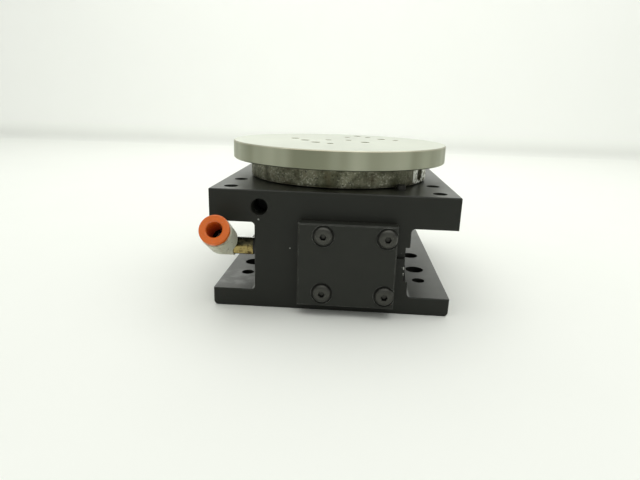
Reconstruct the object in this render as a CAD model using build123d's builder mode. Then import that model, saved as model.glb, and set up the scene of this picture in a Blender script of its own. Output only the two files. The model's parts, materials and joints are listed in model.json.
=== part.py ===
"""Pneumatic rotary table: a rack and pinion in an I-section body turns a flanged disc through 180 degrees.

Millimetres, +Z up. The origin is on the turning axis, in the plane of the underside.
The front face, with the square cover, looks along -Y. The air fitting is on the -X side.
"""
import os
from math import acos, cos, pi, radians, sin, tan

from build123d import *

os.makedirs("parts", exist_ok=True)

# ---- driving dimensions ------------------------------------------------------------------------
body_size = 101.6          # width of the body's top flange
body_front, body_rear = 50.8, 66.0  # its ends, from the turning axis
base_width = 99.6          # the base is a little narrower than the top flange
base_thick = 7.75
channel_height = 29.4      # open height of the side channels
top_thick = 13.4
web_width = 64.0
root_fillet = 1.6
foot_round = 1.8
edge_break = 0.35

module = 1.0
pinion_teeth = 18
pressure_angle = radians(20)
backlash = 0.06
gear_face = 14.4
table_turn = pi            # full travel of the table, in radians

bore_d = 25.4              # the two pistons run in this bore
bore_z = 22.2
rod_d = 20.0
rod_flat = 1.5             # the toothed flat lies this far from the rod's own axis
piston_length = 9.0
end_space = 1.0            # between a piston and its end of the bore

cover_lap = 4.0            # cover beyond the near pair of screws
cover_pitch_x, cover_pitch_z = bore_d, bore_d - 1.3
cover_width, cover_height = cover_pitch_x + cover_lap + 10.2, cover_pitch_z + 10.6
cover_thick = 5.55
cover_z = bore_z - cover_height / 2 - 0.35
gasket_thick = 0.8

upper_bore, upper_outer, upper_width = 30.0, 42.0, 7.0
lower_bore, lower_outer, lower_width = 10.0, 22.0, 6.0

flange_d = 85.4
flange_thick = 8.2
disc_d = 101.6
disc_thick = 8.1
spigot_d = 22.0
set_screw_angle = -26.0    # degrees about the turning axis

port_inset = 6.0           # both side ports lie this far behind the front face
fitting_z = 25.3
spot_z = 21.9
elbow_rise = 31.2          # degrees that the outlet points above level
elbow_reach = 22.5         # from the stem's axis to the face of the release collar

# ---- clearances --------------------------------------------------------------------------------
seat_gap = 0.02            # radial, between pieces that stay together
running_gap = 0.05         # radial, between pieces that move on each other
screw_gap = 0.03
deck_gap = 0.45            # between the deck and the turning flange

# ---- levels and places that follow ---------------------------------------------------------------
half = body_size / 2
port_y = -body_front + port_inset
channel_top = base_thick + channel_height
deck_z = channel_top + top_thick
pitch_r = module * pinion_teeth / 2
flat_x = pitch_r - module
bore_x = flat_x + rod_flat
tooth_pitch = pi * module
stroke = pitch_r * table_turn
rack_front = -body_front + end_space
rack_rear = body_rear - end_space - stroke

lip = 0.95
ring_thick = 1.6
upper_z = deck_z - lip - ring_thick - 0.1 - upper_width
lower_z = 3.2
flange_z = deck_z + deck_gap
disc_z = flange_z + flange_thick
table_top = disc_z + disc_thick


def along_y(x, y, z):
    """A plane square to the bore, looking to the rear."""
    return Plane(origin=(x, y, z), x_dir=(1, 0, 0), z_dir=(0, 1, 0))


def against_y(x, y, z):
    """A plane square to the bore, looking to the front."""
    return Plane(origin=(x, y, z), x_dir=(1, 0, 0), z_dir=(0, -1, 0))


def along_x(x, y, z, side=1):
    return Plane(origin=(x, y, z), x_dir=(0, 1, 0), z_dir=(side, 0, 0))


def save(name, builder):
    builder.part.label = name
    export_step(builder.part, f"parts/{name}.step")


def ring(outer_r, inner_r, height, plane=Plane.XY, edge=0.0):
    """A plain turned ring that stands on a plane."""
    with BuildPart() as turned:
        with BuildSketch(plane):
            Circle(outer_r)
            Circle(inner_r, mode=Mode.SUBTRACT)
        extrude(amount=height)
        if edge:
            chamfer(turned.edges().filter_by(GeomType.CIRCLE), length=edge)
    return turned


def drill(plane, radius, depth):
    """Cut a round hole into the part in hand, from a plane and against its normal."""
    with BuildSketch(plane) as mouth:
        Circle(radius)
    extrude(mouth.sketch, amount=-depth, mode=Mode.SUBTRACT)


def hex_screw(shank_r, length, head_r, head_height, key, round_head=False):
    """A hexagon-socket screw along Z, with the underside of its head at Z = 0."""
    with BuildPart() as screw:
        with BuildSketch():
            Circle(head_r)
        extrude(amount=head_height)
        rim = screw.edges().group_by(Axis.Z)[-1]
        if round_head:
            fillet(rim, radius=head_height * 0.82)
        else:
            chamfer(rim, length=head_r * 0.08)
        with BuildSketch():
            Circle(shank_r)
        extrude(amount=-length)
        chamfer(screw.edges().group_by(Axis.Z)[0], length=shank_r * 0.2)
        with BuildSketch(Plane.XY.offset(head_height)):
            RegularPolygon(key / 2, 6, major_radius=False)
        extrude(amount=-head_height * 0.62, mode=Mode.SUBTRACT)
    return screw.part


def ball_bearing(name, bore, outer, width, z, ball_d, balls):
    """A deep-groove bearing of four nodes: outer ring, inner ring, balls and cage."""
    pitch = (bore + outer) / 4
    middle = z + width / 2
    groove = ball_d / 2 + running_gap
    land = ball_d * 0.27
    level = Plane.XY.offset(z)
    for part_name, big, small in (("outer", outer / 2 - seat_gap, pitch + land),
                                  ("inner", pitch - land, bore / 2 + seat_gap)):
        with BuildPart() as race:
            add(ring(big, small, width, level, edge=0.25).part)
            with BuildSketch(Plane.XZ):
                with Locations((pitch, middle)):
                    Circle(groove)
            revolve(axis=Axis.Z, mode=Mode.SUBTRACT)
        save(f"{name}_{part_name}", race)
    with BuildPart() as ball_set:
        with Locations((0, 0, middle)):
            with PolarLocations(pitch, balls):
                Sphere(ball_d / 2)
    save(f"{name}_balls", ball_set)
    with BuildPart() as cage:
        wall = land - 2 * running_gap
        foot = ball_d * 0.62
        add(ring(pitch + wall / 2, pitch - wall / 2, foot + ball_d / 2, Plane.XY.offset(middle - foot)).part)
        with Locations((0, 0, middle)):
            with PolarLocations(pitch, balls):
                Sphere(ball_d / 2 + running_gap, mode=Mode.SUBTRACT)
        with BuildSketch(Plane.XY.offset(middle + ball_d * 0.25)):
            with PolarLocations(pitch, balls):
                Circle(ball_d * 0.42)
        extrude(amount=ball_d, mode=Mode.SUBTRACT)
    save(f"{name}_cage", cage)


# ---- body housing: one block, milled to an I-section ----------------------------------------------
cover_screw_r = 2.05
cover_screw_hole = 9.5
mount_hole_r, mount_x, mount_y = 2.85, 39.5, 29.5
clearance_hole_r, clearance_front, clearance_rear = 4.3, -14.3, 8.6
deck_hole_r, deck_inset, deck_step = 2.95, 7.6, 18.9
deck_x = deck_corner_y = half - deck_inset
deck_inner_y = deck_corner_y - deck_step
sensor_r, sensor_x, sensor_z, sensor_depth = 3.5, -web_width / 2 + 2.0, 43.6, 14.0
spot_r, spot_depth = 9.5, 1.8
port_r, port_depth = 4.3, 7.0
stem_thread_r, stem_depth = 2.1, 7.0
air_r = 1.25
left_air_x = bore_x - bore_d / 2 - 4.8
right_air_x = bore_x + bore_d / 2 + 4.0
relief_width, relief_height, relief_z, relief_depth = 5.6, 2.4, 25.6, 1.5
cavity_r = 12.0
shoulder_cavity_r, shoulder_cavity_z = 18.0, 36.6
seal_outer_r, seal_inner_r, seal_depth = 28.5, 25.0, 1.8
snap_groove_r = upper_outer / 2 + 1.2
pin_r, pin_depth, pin_stand = 2.0, 8.0, 1.95
pin_angle = radians(-51.5)
pin_radius = flange_d / 2 + pin_r + 0.25
pin_x, pin_y = pin_radius * cos(pin_angle), pin_radius * sin(pin_angle)

cover_screw_points = [(bore_x + sx * cover_pitch_x / 2, bore_z + sz * cover_pitch_z / 2)
                      for sx in (-1, 1) for sz in (-1, 1)]

with BuildPart() as body_housing:
    with BuildSketch(Plane.XZ.offset(body_front)) as section:
        with Locations((0, base_thick / 2)):
            Rectangle(base_width, base_thick)
        with Locations((0, (base_thick + channel_top) / 2)):
            Rectangle(web_width, channel_height)
        with Locations((0, channel_top + top_thick / 2)):
            Rectangle(body_size, top_thick)
        fillet(section.vertices().filter_by(lambda v: abs(abs(v.X) - web_width / 2) < 0.01), root_fillet)
        fillet(section.vertices().filter_by(lambda v: abs(v.Y) < 0.01), foot_round)
    extrude(amount=-body_front - body_rear)
    chamfer(body_housing.faces().sort_by(Axis.Y)[0].edges(), length=edge_break)
    chamfer(body_housing.faces().sort_by(Axis.Y)[-1].edges(), length=edge_break)
    chamfer(body_housing.faces().sort_by(Axis.Z)[-1].edges().filter_by(Axis.Y), length=edge_break)
    # bore for the pistons, and the stepped cavity for the pinion, bored from the deck
    drill(against_y(bore_x, -body_front, bore_z), bore_d / 2, body_front + body_rear)
    drill(Plane.XY.offset(deck_z), upper_outer / 2, deck_z - upper_z)
    drill(Plane.XY.offset(upper_z), shoulder_cavity_r, upper_z - shoulder_cavity_z)
    drill(Plane.XY.offset(shoulder_cavity_z), cavity_r, shoulder_cavity_z - lower_z - lower_width)
    drill(Plane.XY.offset(lower_z + lower_width), lower_outer / 2, lower_width)
    drill(Plane.XY.offset(lower_z), lower_bore / 2 + 3, 0.6)
    with BuildSketch(Plane.XY.offset(deck_z - lip)):
        Circle(snap_groove_r)
    extrude(amount=-ring_thick - 0.05, mode=Mode.SUBTRACT)
    with BuildSketch(Plane.XY.offset(deck_z)):
        Circle(seal_outer_r)
        Circle(seal_inner_r, mode=Mode.SUBTRACT)
    extrude(amount=-seal_depth, mode=Mode.SUBTRACT)
    # mounting holes in the base and in the deck
    with BuildSketch(Plane.XY.offset(base_thick)):
        with GridLocations(2 * mount_x, 2 * mount_y, 2, 2):
            Circle(mount_hole_r)
        with Locations((0, (clearance_front + clearance_rear) / 2)):
            with GridLocations(2 * mount_x, clearance_rear - clearance_front, 2, 2):
                Circle(clearance_hole_r)
    extrude(amount=-base_thick, mode=Mode.SUBTRACT)
    with BuildSketch(Plane.XY.offset(deck_z)):
        with GridLocations(2 * deck_x, 2 * deck_corner_y, 2, 2):
            Circle(deck_hole_r)
        with GridLocations(2 * deck_x, 2 * deck_inner_y, 2, 2):
            Circle(deck_hole_r)
    extrude(amount=-top_thick, mode=Mode.SUBTRACT)
    drill(Plane.XY.offset(deck_z).shift_origin((pin_x, pin_y, deck_z)), pin_r + seat_gap, pin_depth)
    # cover screws, front and rear
    with BuildSketch(against_y(0, -body_front, 0)):
        with Locations(*[(x, z) for x, z in cover_screw_points]):
            Circle(cover_screw_r + screw_gap)
    extrude(amount=-cover_screw_hole, mode=Mode.SUBTRACT)
    with BuildSketch(along_y(0, body_rear, 0)):
        with Locations(*[(x, -z) for x, z in cover_screw_points]):
            Circle(cover_screw_r + screw_gap)
    extrude(amount=-cover_screw_hole, mode=Mode.SUBTRACT)
    # sensor hole, side ports and their air drillings
    drill(against_y(sensor_x, -body_front, sensor_z), sensor_r, sensor_depth)
    drill(along_x(web_width / 2, port_y, spot_z), spot_r, spot_depth)
    drill(along_x(web_width / 2 - spot_depth, port_y, spot_z), port_r, port_depth)
    drill(along_x(-web_width / 2, port_y, fitting_z, -1), stem_thread_r + screw_gap, stem_depth)
    drill(along_x(-web_width / 2, port_y, fitting_z, -1), air_r, web_width / 2 + left_air_x)
    drill(against_y(left_air_x, -body_front, fitting_z), air_r, body_front + port_y + air_r)
    drill(along_y(right_air_x, body_rear, spot_z), air_r, body_rear - port_y + air_r)
    # short relief beside the front cover, open to the port's spot-face
    with BuildSketch(against_y(web_width / 2 - relief_width / 2, -body_front, relief_z)):
        Rectangle(relief_width, relief_height)
    extrude(amount=-relief_depth, mode=Mode.SUBTRACT)
save("body_housing", body_housing)

# ---- covers, gaskets and bumpers -------------------------------------------------------------------
head_r, head_height, head_key = 3.92, 2.2, 2.5
channel_width, channel_depth = 3.0, 1.5
bumper_r, bumper_thick = 9.0, 1.5

for end, plane_at, side, air_x in (("front", against_y, 1, left_air_x), ("rear", along_y, -1, right_air_x)):
    near_edge = cover_pitch_x / 2 + cover_lap
    centre_x = bore_x + (near_edge - cover_width / 2) * (1 if end == "front" else -1)
    far_side = -1 if end == "front" else 1
    face_y = -body_front if end == "front" else body_rear
    outward = -1 if end == "front" else 1
    centre_z = cover_z + cover_height / 2
    gasket_plane = plane_at(0, face_y, 0)
    cover_plane = plane_at(0, face_y + outward * gasket_thick, 0)
    screw_spots = [(x, side * z) for x, z in cover_screw_points]
    reach_x = air_x + far_side * channel_width / 2
    channel_end = bore_x
    with BuildPart() as gasket:
        with BuildSketch(gasket_plane):
            with Locations((centre_x, side * centre_z)):
                Rectangle(cover_width - 0.4, cover_height - 0.4)
            with Locations((bore_x, side * bore_z)):
                Circle(bore_d / 2, mode=Mode.SUBTRACT)
            with Locations(*screw_spots):
                Circle(cover_screw_r + 0.15, mode=Mode.SUBTRACT)
            with Locations(((reach_x + channel_end) / 2, side * (fitting_z if end == "front" else spot_z))):
                SlotOverall(abs(channel_end - reach_x), channel_width, mode=Mode.SUBTRACT)
        extrude(amount=gasket_thick)
    save(f"{end}_gasket", gasket)
    with BuildPart() as cover:
        with BuildSketch(cover_plane):
            with Locations((centre_x, side * centre_z)):
                Rectangle(cover_width, cover_height)
        extrude(amount=cover_thick)
        outer_face = cover.faces().sort_by(Axis.Y)[0 if end == "front" else -1]
        chamfer(outer_face.edges(), length=0.5)
        with BuildSketch(cover_plane):
            with Locations(*screw_spots):
                Circle(cover_screw_r + 0.15)
        extrude(amount=cover_thick, mode=Mode.SUBTRACT)
        with BuildSketch(cover_plane.offset(cover_thick)):
            with Locations(*screw_spots):
                Circle(head_r + 0.55)
        extrude(amount=-0.5, mode=Mode.SUBTRACT)
        with BuildSketch(cover_plane):
            with Locations(((reach_x + channel_end) / 2, side * (fitting_z if end == "front" else spot_z))):
                SlotOverall(abs(channel_end - reach_x), channel_width)
        extrude(amount=channel_depth, mode=Mode.SUBTRACT)
    save(f"{end}_cover", cover)
    with BuildPart() as bumper:
        with BuildSketch(plane_at(bore_x, face_y + outward * gasket_thick, bore_z)):
            Circle(bumper_r)
            Circle(2.5, mode=Mode.SUBTRACT)
            with Locations((far_side * bumper_r, side * ((fitting_z if end == "front" else spot_z) - bore_z))):
                Rectangle(bumper_r, channel_width, mode=Mode.SUBTRACT)
        extrude(amount=-bumper_thick)
    save(f"{end}_bumper", bumper)
    head_y = face_y + outward * (gasket_thick + cover_thick - 0.5)
    cover_screw = hex_screw(cover_screw_r, cover_screw_hole + gasket_thick + cover_thick - 1.2,
                            head_r, head_height, head_key, round_head=True)
    with BuildPart() as cover_screws:
        for x, z in cover_screw_points:
            add(plane_at(x, head_y, z).location * cover_screw)
    save(f"{end}_cover_screws", cover_screws)

# ---- bearings, retaining ring, deck seal and index pin ----------------------------------------------
ball_bearing("upper_bearing", upper_bore, upper_outer, upper_width, upper_z, 3.97, 18)
ball_bearing("lower_bearing", lower_bore, lower_outer, lower_width, lower_z, 3.175, 11)

snap_ring_z = upper_z + upper_width + 0.05
with BuildPart() as snap_ring:
    with BuildSketch(Plane.XY.offset(snap_ring_z)):
        Circle(snap_groove_r - 0.1)
        Circle(upper_outer / 2 - 1.9, mode=Mode.SUBTRACT)
        with Locations((0, -upper_outer / 2)):
            Rectangle(6, 8, mode=Mode.SUBTRACT)
        with Locations((-5.2, -19.6), (5.2, -19.6)):
            Circle(1.9)
            Circle(0.8, mode=Mode.SUBTRACT)
    extrude(amount=ring_thick - 0.1)
save("retaining_ring", snap_ring)

deck_seal = ring(seal_outer_r - seat_gap, seal_inner_r + seat_gap, seal_depth + deck_gap - 2 * running_gap,
                 Plane.XY.offset(deck_z - seal_depth))
save("deck_seal", deck_seal)

with BuildPart() as index_pin:
    with BuildSketch(Plane.XY.offset(deck_z - pin_depth + 0.2)):
        with Locations((pin_x, pin_y)):
            Circle(pin_r)
    extrude(amount=pin_depth - 0.2 + pin_stand)
    chamfer(index_pin.edges().filter_by(GeomType.CIRCLE), length=0.3)
save("index_pin", index_pin)

# ---- pinion shaft ------------------------------------------------------------------------------------
base_r = pitch_r * cos(pressure_angle)
tip_r = pitch_r + module
root_r = pitch_r - 1.25 * module
neck_r = flat_x - 0.6
shoulder_r = upper_bore / 2 + 1.5
shoulder_z = shoulder_cavity_z + 1.0
gear_z = bore_z - gear_face / 2
half_tooth = pi / (2 * pinion_teeth) - backlash / (2 * pitch_r)


def involute(angle):
    return tan(angle) - angle


def flank(radius, side):
    """A point of the tooth's flank at a radius, for the tooth that is centred on +X."""
    turn = side * (half_tooth + involute(pressure_angle) - involute(acos(min(1.0, base_r / radius))))
    return (radius * cos(turn), radius * sin(turn))


flank_radii = [base_r + (tip_r - base_r) * step / 5 for step in range(6)]
with BuildSketch() as tooth:
    with BuildLine():
        lower = Spline(*[flank(r, -1) for r in flank_radii])
        upper = Spline(*[flank(r, 1) for r in flank_radii])
        ThreePointArc(lower @ 1, (tip_r, 0), upper @ 1)
        inner = (root_r - 0.4) / base_r
        Polyline(lower @ 0, (lower @ 0) * inner, (upper @ 0) * inner, upper @ 0)
    make_face()

key_width, key_height = 6.0, 3.0
key_angle = set_screw_angle + 180
set_screw_r = 3.0
set_screw_z = flange_z + flange_thick / 2
spigot_flat = spigot_d / 2 - 1.0


def radial_plane(angle, radius, z):
    """A plane that faces outwards at an angle about the turning axis."""
    a = radians(angle)
    return Plane(origin=(radius * cos(a), radius * sin(a), z), x_dir=(-sin(a), cos(a), 0),
                 z_dir=(cos(a), sin(a), 0))


shaft_steps = [  # radius, from, to
    (lower_bore / 2, lower_z + 0.2, lower_z + lower_width),
    (root_r - 0.55, lower_z + lower_width, gear_z),
    (neck_r, gear_z + gear_face, shoulder_z),
    (shoulder_r, shoulder_z, upper_z),
    (upper_bore / 2, upper_z, upper_z + upper_width - 0.1),
    (spigot_d / 2, upper_z + upper_width - 0.1, disc_z - 0.3),
]
with BuildPart() as pinion_shaft:
    for radius, low, high in shaft_steps:
        with BuildSketch(Plane.XY.offset(low)):
            Circle(radius)
        extrude(amount=high - low)
    with BuildSketch(Plane.XY.offset(gear_z)):
        Circle(root_r)
        with PolarLocations(0, pinion_teeth):
            add(tooth.sketch)
    extrude(amount=gear_face)
    with BuildSketch(radial_plane(set_screw_angle, spigot_flat, set_screw_z)):
        Rectangle(2 * set_screw_r + 1.5, 2 * set_screw_r + 1.0)
    extrude(amount=2, mode=Mode.SUBTRACT)
    with BuildSketch(radial_plane(key_angle, spigot_d / 2 - key_height, set_screw_z)):
        Rectangle(key_width + 2 * seat_gap, flange_thick)
    extrude(amount=key_height + 1, mode=Mode.SUBTRACT)
    drill(Plane.XY.offset(disc_z - 0.3), 2.5, 12)
save("pinion_shaft", pinion_shaft)

with BuildPart() as shaft_key:
    with BuildSketch(radial_plane(key_angle, spigot_d / 2 - key_height + seat_gap, set_screw_z)):
        Rectangle(key_width, flange_thick - 1.0)
    extrude(amount=2 * key_height - 0.4)
    chamfer(shaft_key.edges(), length=0.2)
save("shaft_key", shaft_key)

# ---- flange, disc and their screws -------------------------------------------------------------------
hub_r = upper_bore / 2 + 1.6
disc_screw_r, disc_screw_circle, disc_screw_start = 2.5, 36.0, 5.0
disc_screw_head_r, disc_screw_head = 4.25, 5.0
disc_screw_bite = 6.0
flat_width = 14.0
flat_r = flange_d / 2 - 0.75
tapped_r, drilled_r = 2.2, 1.6
tapped_spots = [(-22.5, 8.0), (-16.5, -2.5), (-10.5, -13.0), (12.5, -4.0), (21.5, 20.0), (9.0, 39.5)]
drilled_spots = [(-5.5, 3.5), (-3.5, -18.0), (4.5, 6.0), (3.5, 27.0), (14.5, 31.5), (28.5, 15.0)]

with BuildPart() as table_flange:
    with BuildSketch(Plane.XY.offset(flange_z)):
        Circle(flange_d / 2)
    extrude(amount=flange_thick)
    fillet(table_flange.edges().group_by(Axis.Z)[0], radius=1.0)
    with BuildSketch(Plane.XY.offset(upper_z + upper_width)):
        Circle(hub_r)
    extrude(amount=flange_z - upper_z - upper_width)
    drill(Plane.XY.offset(disc_z), spigot_d / 2 + seat_gap, disc_z)
    with BuildSketch(radial_plane(key_angle, spigot_d / 2 - 0.5, set_screw_z)):
        Rectangle(key_width + 2 * seat_gap, flange_thick)
    extrude(amount=key_height + 0.3, mode=Mode.SUBTRACT)
    with BuildSketch(radial_plane(set_screw_angle, flat_r, set_screw_z)):
        Rectangle(flat_width + 2, flange_thick + 2)
    extrude(amount=3, mode=Mode.SUBTRACT)
    drill(radial_plane(set_screw_angle, flat_r, set_screw_z), set_screw_r + screw_gap, flat_r - 5)
    with BuildSketch(Plane.XY.offset(flange_z)):
        with PolarLocations(disc_screw_circle, 4, start_angle=disc_screw_start):
            Circle(disc_screw_r + 0.2)
    extrude(amount=flange_thick, mode=Mode.SUBTRACT)
    with BuildSketch(Plane.XY.offset(flange_z)):
        with PolarLocations(disc_screw_circle, 4, start_angle=disc_screw_start):
            Circle(disc_screw_head_r + 0.2)
    extrude(amount=disc_screw_head + 0.2, mode=Mode.SUBTRACT)
save("table_flange", table_flange)

with BuildPart() as table_disc:
    with BuildSketch(Plane.XY.offset(disc_z)):
        Circle(disc_d / 2)
    extrude(amount=disc_thick)
    chamfer(table_disc.edges().filter_by(GeomType.CIRCLE), length=0.4)
    for spots, radius in ((tapped_spots, tapped_r), (drilled_spots, drilled_r)):
        with BuildSketch(Plane.XY.offset(table_top)):
            with Locations(*spots):
                Circle(radius)
        extrude(amount=-disc_thick, mode=Mode.SUBTRACT)
    with BuildSketch(Plane.XY.offset(disc_z)):
        with PolarLocations(disc_screw_circle, 4, start_angle=disc_screw_start):
            Circle(disc_screw_r + screw_gap)
    extrude(amount=disc_screw_bite, mode=Mode.SUBTRACT)
save("table_disc", table_disc)

disc_screw = hex_screw(disc_screw_r, flange_thick - disc_screw_head - 0.2 + disc_screw_bite - 0.3,
                       disc_screw_head_r, disc_screw_head, 4.0)
with BuildPart() as disc_screws:
    for quarter in range(4):
        angle = radians(disc_screw_start + 90 * quarter)
        under_head = Plane(origin=(disc_screw_circle * cos(angle), disc_screw_circle * sin(angle),
                                   flange_z + disc_screw_head + 0.2), x_dir=(1, 0, 0), z_dir=(0, 0, -1))
        add(under_head.location * disc_screw)
save("disc_screws", disc_screws)

with BuildPart() as flange_set_screw:
    tip = radial_plane(set_screw_angle, spigot_flat, set_screw_z)
    with BuildSketch(tip):
        Circle(set_screw_r)
    extrude(amount=flat_r - spigot_flat - 1.2)
    chamfer(flange_set_screw.edges().filter_by(GeomType.CIRCLE), length=0.4)
    with BuildSketch(tip.offset(flat_r - spigot_flat - 1.2)):
        RegularPolygon(1.5, 6, major_radius=False)
    extrude(amount=-3.5, mode=Mode.SUBTRACT)
save("flange_set_screw", flange_set_screw)

# ---- rack rod, pistons and their seals -----------------------------------------------------------------
space_first, space_last = -11, 2
rod_front, rod_rear = rack_front + piston_length, rack_rear - piston_length
half_space = tooth_pitch / 4 + backlash / 2
slope = tan(pressure_angle)
piston_r = bore_d / 2 - running_gap
seal_groove_r, seal_width = 10.3, 3.2
wear_groove_r, wear_width = 11.5, 2.2
rack_screw_r, rack_screw_head_r, rack_screw_head = 2.5, 4.25, 5.0
rack_screw_depth = 12.0
rack_screw_x = (flat_x + bore_x + rod_d / 2) / 2 + 0.3
tail = 0.4                 # radial clearance round the rack screws' heads

with BuildPart() as rack_rod:
    with BuildSketch(along_y(bore_x, rod_front, bore_z)):
        Circle(rod_d / 2)
        with Locations((-rod_d / 2 - rod_flat, 0)):
            Rectangle(rod_d, rod_d, mode=Mode.SUBTRACT)
    extrude(amount=rod_rear - rod_front)
    with BuildSketch(Plane.XY.offset(bore_z)):
        with Locations(*[(pitch_r, k * tooth_pitch) for k in range(space_first, space_last + 1)]):
            Polygon((-module - 0.5, -half_space - (module + 0.5) * slope),
                    (1.25 * module, -half_space + 1.25 * module * slope),
                    (1.25 * module, half_space - 1.25 * module * slope),
                    (-module - 0.5, half_space + (module + 0.5) * slope), align=None)
    extrude(amount=rod_d / 2, both=True, mode=Mode.SUBTRACT)
    drill(against_y(rack_screw_x, rod_front, bore_z), rack_screw_r + screw_gap, rack_screw_depth)
    drill(along_y(rack_screw_x, rod_rear, bore_z), rack_screw_r + screw_gap, rack_screw_depth)
save("rack_rod", rack_rod)

rack_screw = hex_screw(rack_screw_r, rack_screw_depth - 1 + piston_length - rack_screw_head - tail,
                       rack_screw_head_r, rack_screw_head, 4.0)
with BuildPart() as rack_screws:
    add(against_y(rack_screw_x, rack_front + rack_screw_head + tail, bore_z).location * rack_screw)
    add(along_y(rack_screw_x, rack_rear - rack_screw_head - tail, bore_z).location * rack_screw)
save("rack_screws", rack_screws)

for end, plane_at, face_y in (("front", against_y, rack_front), ("rear", along_y, rack_rear)):
    face = plane_at(bore_x, face_y, bore_z)
    seal_plane = face.offset(-2.0 - seal_width)
    wear_plane = face.offset(-piston_length + 0.7)
    with BuildPart() as piston:
        with BuildSketch(face):
            Circle(piston_r)
        extrude(amount=-piston_length)
        chamfer(piston.edges().filter_by(GeomType.CIRCLE), length=0.3)
        for plane, groove_r, width in ((seal_plane, seal_groove_r, seal_width),
                                       (wear_plane, wear_groove_r, wear_width)):
            with BuildSketch(plane):
                Circle(piston_r + 1)
                Circle(groove_r, mode=Mode.SUBTRACT)
            extrude(amount=width, mode=Mode.SUBTRACT)
        drill(plane_at(rack_screw_x, face_y, bore_z), rack_screw_head_r + tail, rack_screw_head + tail)
        drill(plane_at(rack_screw_x, face_y, bore_z), rack_screw_r + 0.15, piston_length)
    save(f"{end}_piston", piston)
    save(f"{end}_piston_seal", ring(piston_r, seal_groove_r + seat_gap, seal_width - 0.1,
                                    seal_plane.offset(0.05), edge=0.3))
    save(f"{end}_wear_ring", ring(piston_r, wear_groove_r + seat_gap, wear_width - 0.1,
                                  wear_plane.offset(0.05)))

# ---- air fitting: brass stem, swivelling elbow, seals and release collar ----------------------------------
rise = radians(elbow_rise)
stem_x = -web_width / 2
washer_thick, hex_flats, hex_length = 1.3, 7.1, 8.3
hex_end = stem_x - washer_thick - hex_length
elbow_x = hex_end - 3.55
journal_r = 3.0
journal_length = 4.6
collar_r, collar_thick, collar_travel = 6.05, 2.0, 1.2
barrel_r = 6.3
barrel_end = elbow_reach - collar_thick - collar_travel - 0.1
barrel_start = 8.4
neck_r_elbow, throat_r = 4.3, 3.35
socket_r, socket_start = 4.3, 7.0
tube_bore_r = 3.25
collar_tube_r = socket_r - 0.08


def outlet(distance):
    """A plane across the elbow's outlet, at a distance from the stem's axis."""
    centre = (elbow_x, port_y - distance * cos(rise), fitting_z + distance * sin(rise))
    return Plane(origin=centre, x_dir=(1, 0, 0), z_dir=(0, -cos(rise), sin(rise)))


with BuildPart() as stem_washer:
    add(ring(3.5, stem_thread_r + 0.1, washer_thick, along_x(stem_x, port_y, fitting_z, -1)).part)
save("stem_washer", stem_washer)

with BuildPart() as fitting_stem:
    with BuildSketch(along_x(stem_x - washer_thick, port_y, fitting_z, -1)):
        RegularPolygon(hex_flats / 2, 6, major_radius=False, rotation=12)
    extrude(amount=hex_length)
    with BuildSketch(along_x(stem_x - washer_thick, port_y, fitting_z, -1)):
        Circle(hex_flats / 2 * 1.1)
    extrude(amount=hex_length, mode=Mode.INTERSECT)
    with BuildSketch(along_x(stem_x - washer_thick, port_y, fitting_z, 1)):
        Circle(stem_thread_r)
    extrude(amount=washer_thick + stem_depth - 1.0)
    with BuildSketch(along_x(hex_end, port_y, fitting_z, -1)):
        Circle(journal_r)
    extrude(amount=journal_length)
    chamfer(fitting_stem.edges().group_by(Axis.X)[0], length=0.2)
    with BuildSketch(along_x(hex_end - 1.4, port_y, fitting_z, -1)):
        Circle(journal_r + 1)
        Circle(journal_r - 0.8, mode=Mode.SUBTRACT)
    extrude(amount=1.4, mode=Mode.SUBTRACT)
    drill(along_x(stem_x + stem_depth, port_y, fitting_z, 1), 1.2, 60)
save("fitting_stem", fitting_stem)

stem_o_ring = ring(journal_r + 0.01, journal_r - 0.8 + seat_gap, 1.3,
                   along_x(hex_end - 1.45, port_y, fitting_z, -1), edge=0.2)
save("stem_o_ring", stem_o_ring)

neck_start = hex_end - 0.15
with BuildPart() as barrel:
    with BuildSketch(outlet(barrel_start - 2.0)):
        Circle(barrel_r)
    extrude(amount=barrel_end - barrel_start + 2.0)
    rims = barrel.edges().filter_by(GeomType.CIRCLE).sort_by(Axis.Y)
    fillet(rims[-1], radius=1.8)
    fillet(barrel.edges().filter_by(GeomType.CIRCLE).sort_by(Axis.Y)[0], radius=0.3)
with BuildPart() as elbow_body:
    with BuildSketch(along_x(neck_start, port_y, fitting_z, -1)):
        Circle(neck_r_elbow)
    extrude(amount=2 * (neck_start - elbow_x) + 1.2)
    fillet(elbow_body.edges().group_by(Axis.X)[0], radius=2.0)
    with BuildSketch(outlet(0)):
        Circle(throat_r)
    extrude(amount=barrel_start + 1)
    add(barrel.part)
    drill(outlet(barrel_end), socket_r, barrel_end - socket_start)
    drill(outlet(socket_start), tube_bore_r - 0.9, socket_start)
    drill(along_x(neck_start, port_y, fitting_z, 1), journal_r + running_gap, journal_length + 0.6)
    drill(along_x(neck_start, port_y, fitting_z, 1), 1.6, neck_start - elbow_x)
save("elbow_body", elbow_body)

seal_from = socket_start + 0.1
save("tube_seal", ring(socket_r - seat_gap, tube_bore_r, 2.4, outlet(seal_from), edge=0.4))

grab_from = seal_from + 2.5
with BuildPart() as grab_ring:
    with BuildSketch(outlet(grab_from)):
        Circle(socket_r - seat_gap)
        Circle(tube_bore_r, mode=Mode.SUBTRACT)
        with PolarLocations(tube_bore_r, 8):
            Rectangle(1.0, 0.5, mode=Mode.SUBTRACT)
    extrude(amount=0.35)
save("grab_ring", grab_ring)

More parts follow.
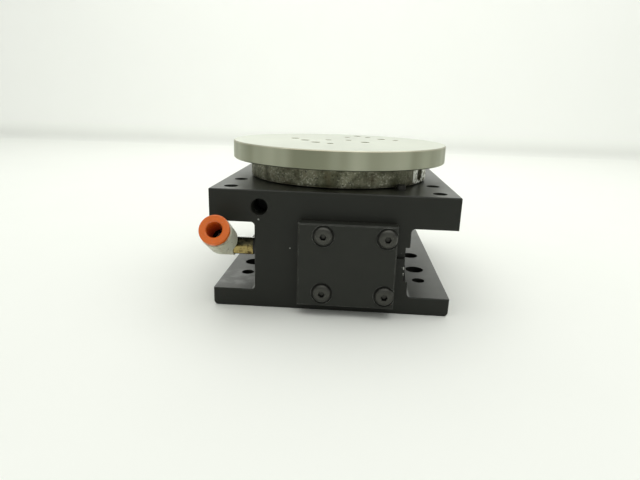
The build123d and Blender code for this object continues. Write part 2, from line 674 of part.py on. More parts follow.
collar_tube_from = grab_from + 0.35 + collar_travel + 0.15
with BuildPart() as release_collar:
    with BuildSketch(outlet(elbow_reach)):
        Circle(collar_r)
    extrude(amount=-collar_thick)
    fillet(release_collar.edges().filter_by(GeomType.CIRCLE).sort_by(Axis.Y)[0], radius=0.5)
    with BuildSketch(outlet(elbow_reach - collar_thick)):
        Circle(collar_tube_r)
    extrude(amount=-(elbow_reach - collar_thick - collar_tube_from))
    drill(outlet(elbow_reach), tube_bore_r, elbow_reach - collar_tube_from)
    chamfer(release_collar.edges().filter_by(GeomType.CIRCLE).filter_by(
        lambda e: abs(e.radius - tube_bore_r) < 0.01).sort_by(Axis.Y)[0], length=0.45)
save("release_collar", release_collar)

print("bore axis", round(bore_x, 3), "stroke", round(stroke, 4), "rack", round(rack_front, 3), round(rack_rear, 3))
print("levels: deck", round(deck_z, 3), "flange", round(flange_z, 3), "disc", round(disc_z, 3),
      "top", round(table_top, 3), "upper bearing", round(upper_z, 3))
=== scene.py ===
# %% [markdown]
# # Dressing an air driven rotary table
# An indexing table like this one is a black anodised aluminium body with a rack and
# pinion inside, a rough cast ring that carries a ground top plate, and a push-in air
# fitting on its side. The machined solids arrive with every part in its place. What
# this lesson adds is the surface: castings, tool marks, worn edges, oil and plastic.

# %% Load the machined parts and measure them
import json
import math

import bpy
from mathutils import Matrix, Vector

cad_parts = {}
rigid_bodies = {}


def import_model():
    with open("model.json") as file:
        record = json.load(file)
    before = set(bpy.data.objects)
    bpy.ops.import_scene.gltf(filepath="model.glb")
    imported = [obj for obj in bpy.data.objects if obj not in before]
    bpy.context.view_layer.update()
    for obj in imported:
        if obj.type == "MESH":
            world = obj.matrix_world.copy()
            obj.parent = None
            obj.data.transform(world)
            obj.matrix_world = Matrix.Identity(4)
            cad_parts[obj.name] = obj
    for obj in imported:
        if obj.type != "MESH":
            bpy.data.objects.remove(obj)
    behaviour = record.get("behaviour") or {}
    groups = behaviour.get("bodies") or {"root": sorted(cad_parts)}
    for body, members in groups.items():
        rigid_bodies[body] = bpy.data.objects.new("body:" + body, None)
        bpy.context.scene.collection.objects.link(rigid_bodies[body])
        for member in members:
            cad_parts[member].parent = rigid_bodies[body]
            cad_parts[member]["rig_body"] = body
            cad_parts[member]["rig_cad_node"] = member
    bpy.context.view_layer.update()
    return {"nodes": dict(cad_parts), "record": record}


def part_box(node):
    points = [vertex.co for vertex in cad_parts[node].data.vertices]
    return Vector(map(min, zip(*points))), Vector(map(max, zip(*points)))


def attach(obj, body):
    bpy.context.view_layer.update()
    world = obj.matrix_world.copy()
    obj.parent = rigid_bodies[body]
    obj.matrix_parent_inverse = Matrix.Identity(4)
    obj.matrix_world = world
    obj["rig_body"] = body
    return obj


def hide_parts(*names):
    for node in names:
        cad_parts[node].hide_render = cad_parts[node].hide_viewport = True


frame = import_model()
parts = frame["nodes"]

# %% [markdown]
# ## Millimetres
# A machinist reads a drawing in millimetres and Blender works in metres, so one short
# value turns the first into the second. The landmarks are the boxes of a few parts:
# what is added later is placed from them.

# %% Units and landmarks
MM = 0.001
housing_low, housing_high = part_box("body_housing")
plate_low, plate_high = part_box("table_disc")
ring_low, ring_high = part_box("table_flange")
deck_level = housing_high.z
front_level = housing_low.y
print("deck at", round(deck_level / MM, 2), "mm, plate top at",
      round(plate_high.z / MM, 2), "mm")

# %% [markdown]
# ## The viewpoint
# The table stands a little below the eye, so the plate shows as a thin ellipse and the
# front face stays nearly square. A camera is three turned axes and a place. Building
# the axes from yaw, pitch and roll by hand avoids guessing the order of the turns.

# %% Set up the camera
eye = Vector((6.86, -241.07, 85.10)) * MM
yaw, pitch, roll = (math.radians(turn) for turn in (-3.52, 15.87, 1.72))
lens_length, film_width = 27.22, 36
look = Vector((math.sin(yaw) * math.cos(pitch), math.cos(yaw) * math.cos(pitch),
               -math.sin(pitch)))
level_right = Vector((math.cos(yaw), -math.sin(yaw), 0))
level_up = level_right.cross(look)
right = math.cos(roll) * level_right + math.sin(roll) * level_up
up = math.cos(roll) * level_up - math.sin(roll) * level_right
axes = Matrix((right, up, -look)).transposed().to_4x4()
bpy.ops.object.camera_add()
camera = bpy.context.object
camera.name = "bench_camera"
camera.matrix_world = Matrix.Translation(eye) @ axes
camera.data.lens = lens_length
camera.data.sensor_width = film_width
camera.data.dof.use_dof = False
camera.data.clip_start = 10 * MM
bpy.context.scene.camera = camera
print("camera stands", round(-eye.y / MM), "mm in front")

# %% [markdown]
# ## Selecting with code
# Edit mode tools act on whatever is selected. After loading, every machined part is
# selected, so each step starts by clearing that, and then picks faces by their place.

# %% Helpers for picking and finishing
def clear_selection():
    """Nothing selected and nothing in edit mode."""
    if bpy.context.object and bpy.context.object.mode != "OBJECT":
        bpy.ops.object.mode_set(mode="OBJECT")
    bpy.ops.object.select_all(action="DESELECT")


def make_active(piece):
    """Only this piece is selected, ready for the next tool."""
    clear_selection()
    piece.select_set(True)
    bpy.context.view_layer.objects.active = piece


def pick(piece, kind, wanted):
    """In edit mode, selects just the verts, edges or faces for which wanted is true."""
    bpy.ops.mesh.select_all(action="DESELECT")
    bpy.ops.object.mode_set(mode="OBJECT")
    bpy.context.tool_settings.mesh_select_mode = (
        kind == "vertices", kind == "edges", kind == "polygons")
    for element in getattr(piece.data, kind):
        element.select = wanted(element)
    bpy.ops.object.mode_set(mode="EDIT")


def settle(piece):
    """The place goes into the mesh, so the object sits unturned at the origin."""
    make_active(piece)
    bpy.ops.object.transform_apply(location=True, rotation=True, scale=True)


def edge_middle(piece, edge):
    """The middle of an edge."""
    ends = [piece.data.vertices[i].co for i in edge.vertices]
    return (ends[0] + ends[1]) / 2


print("helpers ready")

# %% [markdown]
# ## The bench top
# A pale sheet lies on the bench and rises behind the table. One plane makes it: its
# far edge is pulled upwards, and the fold is rounded so that it shades softly.

# %% Make the bench top
bench_size, wall_height, wall_lean = 3.0, 1.2, 0.02
wall_distance = 0.69
fold_radius = 0.012
bpy.ops.mesh.primitive_plane_add(size=bench_size,
                                 location=(0, wall_distance - bench_size / 2, 0))
bench = bpy.context.object
bench.name = "bench_top"
settle(bench)
bpy.ops.object.mode_set(mode="EDIT")
pick(bench, "edges", lambda e: edge_middle(bench, e).y > wall_distance - 0.01)
bpy.ops.mesh.extrude_region_move(
    TRANSFORM_OT_translate={"value": (0, wall_lean, wall_height)})
pick(bench, "edges", lambda e: abs(edge_middle(bench, e).y - wall_distance) < MM
     and edge_middle(bench, e).z < MM)
bpy.ops.mesh.bevel(offset=fold_radius, segments=6)
bpy.ops.object.mode_set(mode="OBJECT")
bpy.ops.object.shade_smooth_by_angle(angle=math.radians(50))
print("bench top has", len(bench.data.polygons), "faces")

# %% [markdown]
# ## Soft light
# Metal shows what surrounds it, so the surroundings matter more than the lamps. An even
# pale sky lights everything, and one broad panel overhead gives the soft shadow that
# sits under the base. A second panel behind lifts the far edge of the plate.

# %% Light the bench
sky_colour, sky_strength = (0.98, 1.0, 0.96), 0.56
lamp_colour = (1.0, 1.0, 0.97)
world = bpy.data.worlds.new("studio_air")
world.use_nodes = True
sky = world.node_tree.nodes["Background"]
sky.inputs["Color"].default_value = (*sky_colour, 1)
sky.inputs["Strength"].default_value = sky_strength
bpy.context.scene.world = world
bpy.context.scene.view_settings.view_transform = "Standard"


def add_panel(name, place, target, size, power):
    """A square lamp at a place, facing a target."""
    bpy.ops.object.light_add(type="AREA", location=place)
    lamp = bpy.context.object
    lamp.name = name
    lamp.data.shape = "SQUARE"
    lamp.data.size = size
    lamp.data.energy = power
    lamp.data.color = lamp_colour
    lamp.rotation_euler = (Vector(target) - Vector(place)).to_track_quat(
        "-Z", "Y").to_euler()
    return lamp


panels = [add_panel("overhead_panel", place=(0.05, 0.1, 0.95), target=(0, 0, 0),
                    size=1.3, power=7.0),
          add_panel("rear_panel", place=(-0.1, 0.55, 0.6), target=(0, 0.1, 0.03),
                    size=0.6, power=0.9)]
print("lamps:", [lamp.name for lamp in panels])

# %% [markdown]
# ## Arithmetic with sockets
# A finish is mostly arithmetic: this much dirt, less where the edge is worn. Wiring
# Math nodes one by one hides that, so a small class wraps a socket and lets plain
# Python expressions add the nodes.

# %% A socket that can be calculated with
class Wire:
    """One output of a shader node, or a value worked out from others."""

    tree = None

    def __init__(self, socket):
        self.socket = socket

    @staticmethod
    def node(kind, settings, sockets, out=0):
        """Any node: its type, its settings, and the values or wires of its sockets.
        It returns the output asked for, or nothing for a node that has none."""
        made = Wire.tree.nodes.new("ShaderNode" + kind)
        for name, value in settings.items():
            setattr(made, name, value)
        for name, value in sockets.items():
            if isinstance(value, Wire):
                Wire.tree.links.new(value.socket, made.inputs[name])
            else:
                made.inputs[name].default_value = value
        return None if out is None else Wire(made.outputs[out])

    @staticmethod
    def maths(operation, first, second):
        """A Math node over two values or wires."""
        return Wire.node("Math", {"operation": operation}, {0: first, 1: second})

    def __add__(self, other):
        return Wire.maths("ADD", self, other)

    def __radd__(self, other):
        return Wire.maths("ADD", other, self)

    def __sub__(self, other):
        return Wire.maths("SUBTRACT", self, other)

    def __rsub__(self, other):
        return Wire.maths("SUBTRACT", other, self)

    def __mul__(self, other):
        return Wire.maths("MULTIPLY", self, other)

    def __rmul__(self, other):
        return Wire.maths("MULTIPLY", other, self)


print("Wire adds, takes away and multiplies")

# %% [markdown]
# ## Patterns that the finishes share
# Every finish reads the part's own coordinates, so a pattern keeps its real size and
# moves with the part. Noise gives grain and stains, a stretched noise gives tool marks,
# and a comparison of the true and the rounded normal finds the edges that wear first.

# %% Pattern helpers
def place():
    """The point on the part, in metres."""
    return Wire.node("TexCoord", {}, {}, out="Object")


def true_normal():
    """The way the surface faces, before any relief."""
    return Wire.node("NewGeometry", {}, {}, out="Normal")


def axis_of(vector, index):
    """One coordinate of a vector, 0 to 2."""
    return Wire.node("SeparateXYZ", {}, {0: vector}, out=index)


def stretched(x, y, z):
    """The point with each coordinate scaled, for streaks."""
    return Wire.node("Mapping", {}, {"Vector": place(), "Scale": (x, y, z)})


def grain(size, detail=3.0, vector=None):
    """Noise from 0 to 1 with features of about this size in millimetres."""
    return Wire.node("TexNoise", {}, {"Vector": vector or place(),
                                      "Scale": 1 / (size * MM), "Detail": detail,
                                      "Roughness": 0.6})


def between(value, low, high):
    """A smooth step: 0 below low, 1 above high. It falls when low is above high."""
    return Wire.node("MapRange", {"interpolation_type": "SMOOTHSTEP"},
                     {"Value": value, "From Min": low, "From Max": high,
                      "To Min": 0.0, "To Max": 1.0})


# A Mix node has sockets for every kind of value, and these are the ones for colours.
FACTOR_IN, COLOUR_A_IN, COLOUR_B_IN, COLOUR_OUT = 0, 6, 7, 2


def mixed(mask, under, over):
    """A colour that goes from under to over as the mask goes from 0 to 1."""
    under, over = (c if isinstance(c, Wire) else (*c, 1) for c in (under, over))
    return Wire.node("Mix", {"data_type": "RGBA"},
                     {FACTOR_IN: mask, COLOUR_A_IN: under, COLOUR_B_IN: over},
                     out=COLOUR_OUT)


def near(x, y, z, radius):
    """A soft round mask about a point in millimetres, ragged at its rim."""
    distance = Wire.node("VectorMath", {"operation": "DISTANCE"},
                         {0: place(), 1: (x * MM, y * MM, z * MM)}, out="Value")
    ragged = distance + (grain(radius * 0.5, 2) - 0.5) * (radius * MM * 1.2)
    return between(ragged, radius * MM, radius * MM * 0.5)


def worn_edge(radius, low=0.02, high=0.16):
    """1 along sharp edges, where the rounded normal leaves the true one."""
    rounded = Wire.node("Bevel", {"samples": 4}, {"Radius": radius * MM})
    agreement = Wire.node("VectorMath", {"operation": "DOT_PRODUCT"},
                          {0: rounded, 1: true_normal()}, out="Value")
    return between(1 - agreement, low, high)


def facing_up():
    """1 on faces that look upwards."""
    return between(axis_of(true_normal(), 2), 0.6, 0.95)


def specks(spacing, size):
    """Scattered dots: 1 inside each."""
    distance = Wire.node("TexVoronoi", {}, {"Vector": place(),
                                            "Scale": 1 / (spacing * MM)})
    return between(distance, size, size * 0.5)


def painted_recess_shade(reach):
    """1 down in a recess: the mask for painted shade there."""
    openness = Wire.node("AmbientOcclusion", {"samples": 6, "only_local": True},
                         {"Distance": reach * MM}, out="AO")
    return between(openness, 0.72, 0.38)


def relief(height, depth, strength=1.0):
    """A normal from a height, with its depth in millimetres."""
    return Wire.node("Bump", {}, {"Height": height, "Distance": depth * MM,
                                  "Strength": strength})


print("pattern helpers ready")

# %% [markdown]
# ## Building a finish
# Each finish is one function that returns its varying sockets. A shared step makes the
# material, gives the shader its constants and wires the rest, so a finish reads as a
# short recipe.

# %% Make a material from a recipe
finishes = {}


def finish(slot, recipe, **constants):
    """Makes the material for a slot. The recipe gives the sockets that vary."""
    material = bpy.data.materials.new(slot)
    material.use_nodes = True
    Wire.tree = material.node_tree
    Wire.tree.nodes.clear()
    sockets = {name.replace("_", " ").title().replace("Ior", "IOR"): value
               for name, value in constants.items()}
    sockets.update(recipe())
    shader = Wire.node("BsdfPrincipled", {}, sockets)
    Wire.node("OutputMaterial", {}, {"Surface": shader}, out=None)
    finishes[slot] = material
    print(slot, "uses", len(Wire.tree.nodes), "nodes")


# %% [markdown]
# ## Bench paper
# The pale sheet is matt, faintly mottled and a little green. Its upright part catches
# less of the overhead light than the level part does, so it is given a faint glow of
# its own, which keeps the background even.

# %% The paper on the bench
def bench_paper():
    """Matt paper with large faint patches."""
    dull, fresh = (0.850, 0.864, 0.826), (0.872, 0.884, 0.848)
    no_glow, faint_glow = (0.0, 0.0, 0.0), (0.14, 0.14, 0.138)
    patches = grain(60, 3)
    upright = between(axis_of(place(), 2), 0.0, 40 * MM)
    return {"Base Color": mixed(patches, dull, fresh),
            "Emission Color": mixed(upright, no_glow, faint_glow),
            "Normal": relief(grain(2.0, 2), 0.02, 0.2)}


finish("bench_paper", bench_paper, roughness=0.8, emission_strength=1.0)
bench.data.materials.append(finishes["bench_paper"])

# %% [markdown]
# ## Black anodised aluminium
# Anodising is a hard dyed skin on the milled body. It is satin, slightly cloudy, and it
# keeps the fine lines of the cutter. Sharp edges rub through to pale metal, and the
# base beside the web holds a film of oil. The hard skin shines more at low angles, most
# of all on faces that look up, so those have a thin coat over the satin.

# %% The body's skin
def anodised_skin():
    """Dyed satin skin, with chips beside the front cover and two nicks in front."""
    deep_dye, thin_dye = (0.0125, 0.0135, 0.0105), (0.019, 0.0205, 0.016)
    pale_dust, bare_metal = (0.16, 0.16, 0.14), (0.42, 0.43, 0.40)
    clouds = grain(14, 4)
    fine = grain(0.5, 3)
    cutter = grain(1.0, 2, stretched(0.06, 0.06, 2.2))
    oil = near(-40, -36, 7.9, 13) * between(grain(6, 4), 0.36, 0.62)
    rubbed = worn_edge(0.22) * between(grain(5, 3), 0.46, 0.66)
    chips = near(29.6, -50.9, 20.4, 1.0) + near(30.4, -50.9, 17.8, 1.2)
    nicks = near(-17.2, -50.8, 26.8, 0.40) + near(-30.3, -50.8, 38.4, 0.55)
    bare = between(rubbed * 0.75 + chips * between(grain(0.7, 2), 0.45, 0.6)
                   + nicks * 0.7, 0.3, 0.95)
    dust = specks(3.1, 0.05) * between(grain(9, 2), 0.5, 0.6)
    skin = mixed(clouds, deep_dye, thin_dye)
    skin = mixed(dust * 0.35, skin, pale_dust)
    return {"Base Color": mixed(bare, skin, bare_metal),
            "Metallic": bare * 0.8,
            "Roughness": 0.40 + clouds * 0.10 + cutter * 0.06 - oil * 0.20,
            "Coat Weight": facing_up() * (0.75 + oil * 0.25 - clouds * 0.25),
            "Normal": relief(fine * 0.5 + cutter * 0.5, 0.02, 0.5)}


finish("black_anodised", anodised_skin, specular_ior_level=0.25, coat_roughness=0.32)

# %% [markdown]
# ## The end covers
# The two covers are separate plates, anodised in another batch, so they are a little
# browner and flatter. They are handled more than the body and their rims have rubbed
# through in a thin bright line.

# %% The covers' skin
def cover_skin():
    """Flatter, browner dyed skin with rubbed rims and a few specks."""
    deep_dye, thin_dye = (0.0145, 0.0155, 0.012), (0.022, 0.0235, 0.0185)
    pale_speck, bare_metal = (0.15, 0.15, 0.13), (0.36, 0.37, 0.34)
    clouds = grain(9, 4)
    fine = grain(0.4, 3)
    scratch = grain(1.0, 2, stretched(0.9, 1.0, 0.05))
    rubbed = worn_edge(0.20) * between(grain(4, 3), 0.40, 0.62)
    specked = specks(2.3, 0.06) * between(grain(7, 2), 0.48, 0.6)
    skin = mixed(clouds, deep_dye, thin_dye)
    skin = mixed(specked * 0.3, skin, pale_speck)
    return {"Base Color": mixed(rubbed * 0.7, skin, bare_metal),
            "Metallic": rubbed * 0.6,
            "Roughness": 0.46 + clouds * 0.1 - scratch * 0.05,
            "Normal": relief(fine * 0.7 + scratch * 0.3, 0.02, 0.45)}


finish("black_cover", cover_skin, specular_ior_level=0.27)

# %% [markdown]
# ## Blackened screws
# Alloy steel screws are blackened in hot salt and oiled. The skin is thin, so the
# turned head still glints like metal, with a warmer tone where a key has worn it.

# %% The screws' skin
def blackened_steel():
    """Thin black oxide, with painted shade down in the key socket."""
    dark_oxide, thin_oxide = (0.045, 0.045, 0.040), (0.085, 0.085, 0.075)
    worn_steel, deep_shade = (0.30, 0.29, 0.26), (0.002, 0.002, 0.002)
    clouds = grain(2.5, 3)
    fine = grain(0.25, 2)
    rubbed = worn_edge(0.15) * between(grain(1.5, 3), 0.4, 0.62)
    skin = mixed(clouds, dark_oxide, thin_oxide)
    skin = mixed(rubbed * 0.5, skin, worn_steel)
    # The key socket's recess is given painted shade, a near black colour.
    return {"Base Color": mixed(painted_recess_shade(1.6), skin, deep_shade),
            "Roughness": 0.34 + clouds * 0.16,
            "Normal": relief(fine, 0.012, 0.5)}


finish("black_oxide", blackened_steel, metallic=0.85)

# %% [markdown]
# ## The ground top plate
# The plate is turned on its rim and ground flat on top. Turning leaves rings, which
# follow the distance from the axis on the top and the height on the rim, so one noise
# over those two numbers draws both. The rim is painted darker than the top, as shade,
# and carries upright stripes of painted reflection and a warm painted reflection along
# its upper edge.

# %% The plate's metal
def turned_plate():
    """Turned rim painted darker than the top as shade, with upright stripes of painted
    reflection, a ground top, and a warm painted reflection along the upper edge.
    """
    rim_shade_dim, rim_shade_reflection = (0.25, 0.26, 0.185), (0.44, 0.45, 0.35)
    dull_top, clean_top = (0.55, 0.575, 0.50), (0.65, 0.67, 0.60)
    warm_painted_reflection = (0.80, 0.56, 0.42)
    here = place()
    x, y, z = (axis_of(here, i) for i in range(3))
    level_spot = Wire.node("CombineXYZ", {}, {"X": x, "Y": y, "Z": 0.0})
    radius = Wire.node("VectorMath", {"operation": "LENGTH"}, {0: level_spot},
                       out="Value")
    rings = Wire.node("CombineXYZ", {}, {"X": radius, "Y": 0.0, "Z": z})
    turned = grain(0.28, 3, rings)
    painted_reflection_bands = grain(22, 2, level_spot)
    smudges = grain(11, 4)
    top = facing_up()
    upper_edge = between(z, 65.5 * MM, 66.8 * MM)
    reflection_line = worn_edge(0.5, 0.03, 0.14) * upper_edge
    # The rim's colours are painted shade, with upright stripes of painted reflection.
    rim = mixed(between(painted_reflection_bands, 0.34, 0.66), rim_shade_dim, rim_shade_reflection)
    ground = mixed(smudges, dull_top, clean_top)
    metal = mixed(top, rim, ground)
    # A warm painted reflection along the chamfer of the upper edge.
    return {"Base Color": mixed(reflection_line * 0.55, metal, warm_painted_reflection),
            "Roughness": 0.36 + turned * 0.10 + (smudges - 0.5) * 0.12 - top * 0.06,
            "Normal": relief(turned, 0.010, 0.35)}


finish("ground_plate", turned_plate, metallic=1.0, anisotropic=0.25)

# %% [markdown]
# ## The cast ring
# Under the plate is an unmachined casting. Its skin is grainy and pitted, beige grey
# with oil stains that have gone green and brown, and only the small flat for the set
# screw has been filed bright. The flat lies across one direction from the axis, so the
# distance along that direction finds it.

# %% The casting's skin
flat_angle = math.radians(-26)


def cast_skin():
    """Sandy metallic skin with painted highlight specks, pits darkened with painted
    shade, and two kinds of oil stain.
    """
    dark_sand, pale_sand = (0.10, 0.10, 0.058), (0.34, 0.34, 0.245)
    speck_highlight, pit_shade = (0.66, 0.66, 0.53), (0.012, 0.013, 0.008)
    green_stain, brown_stain = (0.075, 0.080, 0.036), (0.11, 0.080, 0.040)
    filed_metal = (0.80, 0.81, 0.74)
    mottled = grain(4.5, 5)
    sand = grain(0.9, 3)
    # Bright specks of painted highlight on the grains, standing in for their sparkle.
    highlight_specks = between(sand, 0.52, 0.64) * between(mottled, 0.36, 0.60)
    pits = between(grain(0.8, 3), 0.46, 0.36) * between(grain(3.2, 3), 0.42, 0.58)
    stain = between(grain(13, 3), 0.44, 0.62)
    oily = between(grain(7, 4), 0.50, 0.66)
    here = place()
    toward_flat = (axis_of(here, 0) * math.cos(flat_angle)
                   + axis_of(here, 1) * math.sin(flat_angle))
    filed = between(toward_flat, 41.70 * MM, 41.90 * MM)
    skin = mixed(between(mottled, 0.3, 0.7), dark_sand, pale_sand)
    skin = mixed(highlight_specks * 0.85, skin, speck_highlight)
    skin = mixed(stain * 0.50, skin, green_stain)
    skin = mixed(oily * 0.35, skin, brown_stain)
    # The pits are darkened with painted shade.
    skin = mixed(pits * 0.9, skin, pit_shade)
    bright = filed * between(grain(1.6, 3), 0.40, 0.52)
    return {"Base Color": mixed(bright, skin, filed_metal),
            "Roughness": 0.46 + mottled * 0.25 - oily * 0.12 - bright * 0.15,
            "Normal": relief(sand * 0.6 + mottled * 0.4 - pits * 0.6, 0.30, 0.9)}


finish("cast_ring", cast_skin, metallic=0.55)

# %% [markdown]
# ## Brass
# The fitting's stem is turned from hexagon brass. It has tarnished brown in patches,
# the lower flats stay yellow, and the upper ones are coloured near black. The black
# starts at a height, made uneven by the same clouds that place the tarnish.

# %% The fitting's brass
def tarnished_brass():
    """Yellow metal with brown patches, black on the upper flats."""
    yellow, brown, black = (0.42, 0.33, 0.13), (0.10, 0.07, 0.03), (0.020, 0.022, 0.016)
    clouds = grain(2.2, 4)
    fine = grain(0.3, 2, stretched(3, 1, 1))
    tarnish = between(clouds, 0.46, 0.70)
    uneven_height = axis_of(place(), 2) + (clouds - 0.5) * (2 * MM)
    black_above_height = between(uneven_height, 25.6 * MM, 26.8 * MM)
    metal = mixed(tarnish, yellow, brown)
    metal = mixed(black_above_height * 0.92, metal, black)
    return {"Base Color": metal, "Roughness": 0.22 + tarnish * 0.25,
            "Normal": relief(fine, 0.012, 0.4)}


finish("brass", tarnished_brass, metallic=1.0)

# %% [markdown]
# ## Moulded plastics
# The elbow is an off-white glass filled nylon, a little see-through at its thin edges
# and grubby from the shop, with clusters of dark specks. The release collar is glossy
# orange acetal, scuffed where a thumb presses it.

# %% The elbow and the collar
def grubby_nylon():
    """Yellowed nylon with brown dirt and dark specks."""
    yellowed, clean = (0.46, 0.45, 0.34), (0.62, 0.62, 0.51)
    brown_dirt, dark_speck = (0.22, 0.17, 0.09), (0.03, 0.025, 0.02)
    clouds = grain(6, 4)
    dirt = between(grain(2.4, 4), 0.50, 0.68)
    dots = specks(2.0, 0.17) * between(grain(5, 2), 0.47, 0.55)
    white = mixed(clouds, yellowed, clean)
    white = mixed(dirt * 0.5, white, brown_dirt)
    return {"Base Color": mixed(dots, white, dark_speck),
            "Roughness": 0.38 + clouds * 0.15,
            "Normal": relief(grain(0.35, 2), 0.015, 0.4)}


def glossy_acetal():
    """Smooth orange plastic with small dull scuffs."""
    deep_orange, light_orange = (0.60, 0.115, 0.012), (0.78, 0.175, 0.025)
    scuffed = (0.35, 0.09, 0.03)
    clouds = grain(4, 3)
    scuffs = between(grain(0.8, 3), 0.60, 0.72)
    orange = mixed(clouds, deep_orange, light_orange)
    return {"Base Color": mixed(scuffs * 0.35, orange, scuffed),
            "Roughness": 0.24 + scuffs * 0.25,
            "Normal": relief(grain(1.2, 2), 0.03, 0.25)}


finish("white_plastic", grubby_nylon, subsurface_weight=0.15,
       subsurface_radius=(1.0, 0.8, 0.5), subsurface_scale=0.6 * MM)
finish("orange_plastic", glossy_acetal, subsurface_weight=0.08,
       subsurface_radius=(1.0, 0.3, 0.1), subsurface_scale=0.8 * MM)

# %% [markdown]
# ## The working parts inside
# Gear teeth, races, balls, seals and gaskets are seen through holes and in a cutaway.
# They share two recipes, one for metals and one for moulded or pressed sheet, that take
# a pair of colours, so each still has its own tone and grain.

# %% Two recipes for many parts
oil_film = (0.16, 0.13, 0.08)


def metal_recipe(dark, pale, grain_size, roughness):
    """A machined metal with cloudy tone and a thin film of oil."""
    def recipe():
        clouds = grain(grain_size * 6, 3)
        fine = grain(grain_size, 3)
        film = between(grain(grain_size * 10, 3), 0.45, 0.62)
        metal = mixed(clouds, dark, pale)
        return {"Base Color": mixed(film * 0.3, metal, oil_film),
                "Roughness": roughness + fine * 0.10 - film * 0.06,
                "Normal": relief(fine, 0.012, 0.5)}
    return recipe


def sheet_recipe(dark, pale, grain_size, roughness):
    """A dull moulded or pressed material."""
    def recipe():
        clouds = grain(grain_size * 8, 4)
        fine = grain(grain_size, 3)
        return {"Base Color": mixed(clouds, dark, pale),
                "Roughness": roughness + fine * 0.12,
                "Normal": relief(fine, 0.03, 0.6)}
    return recipe


# %% [markdown]
# ## One row for each inner finish
# Hardened races are smooth and bright, cut gear teeth are greyer, and blued spring
# steel is darkest. A row holds the dark colour, the pale colour, the grain's size in
# millimetres and the roughness.

# %% Finishes of the inner parts
inner_metals = {
    "bright_steel": ((0.46, 0.46, 0.44), (0.66, 0.66, 0.63), 0.5, 0.20),
    "gear_steel": ((0.22, 0.22, 0.21), (0.36, 0.36, 0.34), 0.6, 0.32),
    "bearing_steel": ((0.52, 0.53, 0.54), (0.68, 0.69, 0.70), 0.8, 0.14),
    "spring_steel": ((0.10, 0.11, 0.14), (0.20, 0.20, 0.22), 0.4, 0.30),
    "piston_alloy": ((0.46, 0.47, 0.48), (0.60, 0.61, 0.62), 0.4, 0.30),
}
inner_sheets = {
    "wear_plastic": ((0.40, 0.36, 0.26), (0.52, 0.48, 0.36), 0.5, 0.45),
    "seal_rubber": ((0.010, 0.010, 0.011), (0.024, 0.024, 0.024), 0.4, 0.50),
    "gasket_sheet": ((0.16, 0.11, 0.07), (0.27, 0.20, 0.13), 0.35, 0.75),
}
for slot, values in inner_metals.items():
    finish(slot, metal_recipe(*values), metallic=1.0)
for slot, values in inner_sheets.items():
    finish(slot, sheet_recipe(*values))

# %% [markdown]
# ## Dressing the machined parts
# The record says which finish each part has. A part keeps its mesh as machined and only
# its material slot changes.

# %% Give every part its finish
slot_of_part = {row["node"]: row["material_slot"]
                for row in frame["record"]["subparts"]}


def dress(piece, slot):
    """The finish in the piece's only material slot."""
    piece.data.materials.clear()
    piece.data.materials.append(finishes[slot])


for name, part in parts.items():
    dress(part, slot_of_part[name])
print("dressed", len(slot_of_part), "parts in", len(finishes), "finishes")

# %% [markdown]
# ## The casting's grain
# Sand casting leaves a skin that is uneven by a few tenths of a millimetre, enough to
# break the outline of the ring. Bump alone cannot do that, so the ring is copied and
# given an even net of small faces, which can then be moved one by one. The copy's loose
# triangles are merged first, because the net needs a closed shape.

# %% Copy the ring and give it an even net
net_size = 0.40 * MM
weld_reach = 0.002 * MM
clear_selection()
ring = parts["table_flange"].copy()
ring.data = parts["table_flange"].data.copy()
ring.name = "cast_ring_skin"
ring.parent = None
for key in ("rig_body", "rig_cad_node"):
    del ring[key]
bpy.context.scene.collection.objects.link(ring)
make_active(ring)
bpy.ops.object.mode_set(mode="EDIT")
bpy.ops.mesh.select_all(action="SELECT")
bpy.ops.mesh.remove_doubles(threshold=weld_reach)
bpy.ops.object.mode_set(mode="OBJECT")
net = ring.modifiers.new("net", "REMESH")
net.mode = "VOXEL"
net.voxel_size = net_size
net.use_smooth_shade = True
bpy.ops.object.modifier_apply(modifier=net.name)
print("ring net:", len(ring.data.vertices), "points")

# %% [markdown]
# ## Roughening the unmachined wall
# Two clouds textures push the outer wall inwards, a coarse one for lumps of sand and a
# fine one for single grains. A vertex group holds them to the unmachined wall and fades
# them towards its upper and lower rims, so the bore, the seat and the flat stay true.

# %% Roughen only the unmachined wall
ring_radius = (ring_high.x - ring_low.x) / 2
flat_reach = ring_radius - 0.9 * MM
wall_reach = ring_radius - 0.45 * MM
rim_fade, least_push = 1.0 * MM, 0.2
sands = {"coarse_sand": (1.5, 0.42), "fine_sand": (0.7, 0.22)}
wall = ring.vertex_groups.new(name="cast_wall")
for vertex in ring.data.vertices:
    spot = vertex.co
    reach = math.hypot(spot.x, spot.y)
    toward_flat = spot.x * math.cos(flat_angle) + spot.y * math.sin(flat_angle)
    if reach > wall_reach and toward_flat < flat_reach:
        inside = min(spot.z - ring_low.z, ring_high.z - spot.z) / rim_fade
        wall.add([vertex.index], min(max(inside, least_push), 1.0), "REPLACE")
for name, (size, depth) in sands.items():
    clouds = bpy.data.textures.new(name, "CLOUDS")
    clouds.noise_scale = size * MM
    clouds.noise_depth = 2
    push = ring.modifiers.new(name, "DISPLACE")
    push.texture = clouds
    push.vertex_group = wall.name
    push.strength = -depth * MM
    push.mid_level = 0.0
    bpy.ops.object.modifier_apply(modifier=push.name)
bpy.ops.object.shade_smooth_by_angle(angle=math.radians(40))
dress(ring, "cast_ring")
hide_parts("table_flange")
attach(ring, "table")
print("cast ring:", sum(len(p.vertices) - 2 for p in ring.data.polygons), "triangles")

# %% [markdown]
# ## Threads in the tapped holes
# A tapped hole shows a fine spiral ridge just inside its mouth. The ridge is one small
# triangle carried round and along the hole, which is what the Screw modifier does. The
# triangle is made a little flatter first, and its foot is in the metal.

# %% Wind one thread
turn_steps = 32


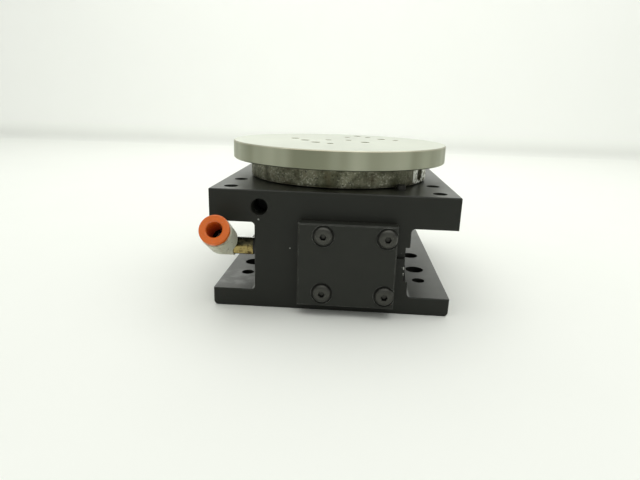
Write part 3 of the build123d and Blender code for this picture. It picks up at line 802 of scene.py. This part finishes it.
def wind_thread(name, radius, pitch, length):
    """A spiral ridge on the inside of a hole that stands at the origin along Z."""
    clear_selection()
    bpy.ops.mesh.primitive_circle_add(
        vertices=3, radius=pitch * 0.42, fill_type="NOTHING",
        location=(radius + pitch * 0.08, 0, 0),
        rotation=(math.pi / 2, 0, 0))
    ridge = bpy.context.object
    ridge.name = name
    settle(ridge)
    bpy.ops.object.mode_set(mode="EDIT")
    bpy.ops.mesh.select_all(action="SELECT")
    bpy.ops.transform.resize(value=(0.8, 1, 1), center_override=(radius, 0, 0))
    bpy.ops.object.mode_set(mode="OBJECT")
    winding = ridge.modifiers.new("winding", "SCREW")
    winding.axis = "Z"
    winding.screw_offset = pitch
    winding.iterations = round(length / pitch)
    winding.steps = winding.render_steps = turn_steps
    bpy.ops.object.modifier_apply(modifier=winding.name)
    bpy.ops.object.mode_set(mode="EDIT")
    bpy.ops.mesh.select_all(action="SELECT")
    bpy.ops.mesh.remove_doubles(threshold=0.001 * MM)
    bpy.ops.mesh.fill_holes(sides=4)
    bpy.ops.mesh.select_all(action="SELECT")
    bpy.ops.mesh.normals_make_consistent(inside=False)
    bpy.ops.object.mode_set(mode="OBJECT")
    bpy.ops.object.shade_smooth_by_angle(angle=math.radians(30))
    print(name, "has", len(ridge.data.polygons), "faces")
    return ridge


# %% [markdown]
# ## One thread for each tapped hole
# Three sizes are wound: the blind hole in the front face, the eight holes of the deck,
# and six of the holes in the plate. Each is copied with its own mesh into every hole of
# its size. The threads of the plate ride with it, and the others stay with the body.

# %% Put the threads in their holes
def fit_thread(pattern, name, move, body, slot):
    """A copy of a thread, moved into its hole, on a body and with a finish."""
    copy = pattern.copy()
    copy.data = pattern.data.copy()
    copy.name = name
    copy.data.transform(move)
    bpy.context.scene.collection.objects.link(copy)
    dress(copy, slot)
    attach(copy, body)


def fit_row(pattern, stem, places, height, body, slot):
    """A thread in every hole of a row of (x, y) places, in millimetres."""
    for number, (x, y) in enumerate(places, 1):
        move = Matrix.Translation((x * MM, y * MM, height))
        fit_thread(pattern, f"{stem}_{number}", move, body, slot)


sensor_thread = wind_thread("sensor_thread_pattern", radius=3.5 * MM, pitch=1.0 * MM,
                            length=12 * MM)
into_front = Matrix.Translation((-30 * MM, front_level + 12.8 * MM, 43.6 * MM)) @ (
    Matrix.Rotation(math.pi / 2, 4, "X"))
fit_thread(sensor_thread, "sensor_thread", into_front, "root", "black_anodised")
deck_thread = wind_thread("deck_thread_pattern", radius=2.95 * MM, pitch=1.27 * MM,
                          length=10 * MM)
deck_places = [(x, y) for x in (-43.2, 43.2) for y in (-43.2, -24.3, 24.3, 43.2)]
fit_row(deck_thread, "deck_thread", deck_places, deck_level - 11.5 * MM,
        "root", "black_anodised")
plate_thread = wind_thread("plate_thread_pattern", radius=2.2 * MM, pitch=0.8 * MM,
                           length=6.4 * MM)
plate_places = [(-22.5, 8), (-16.5, -2.5), (-10.5, -13),
                (12.5, -4), (21.5, 20), (9, 39.5)]
fit_row(plate_thread, "plate_thread", plate_places, plate_low.z + 0.6 * MM,
        "table", "ground_plate")
for pattern in (sensor_thread, deck_thread, plate_thread):
    bpy.data.objects.remove(pattern)
print("threads fitted:", 1 + len(deck_places) + len(plate_places))

# %% [markdown]
# ## Finish
# The dressed table keeps the machined size; the last step leaves nothing selected.

# %% Leave nothing selected
clear_selection()
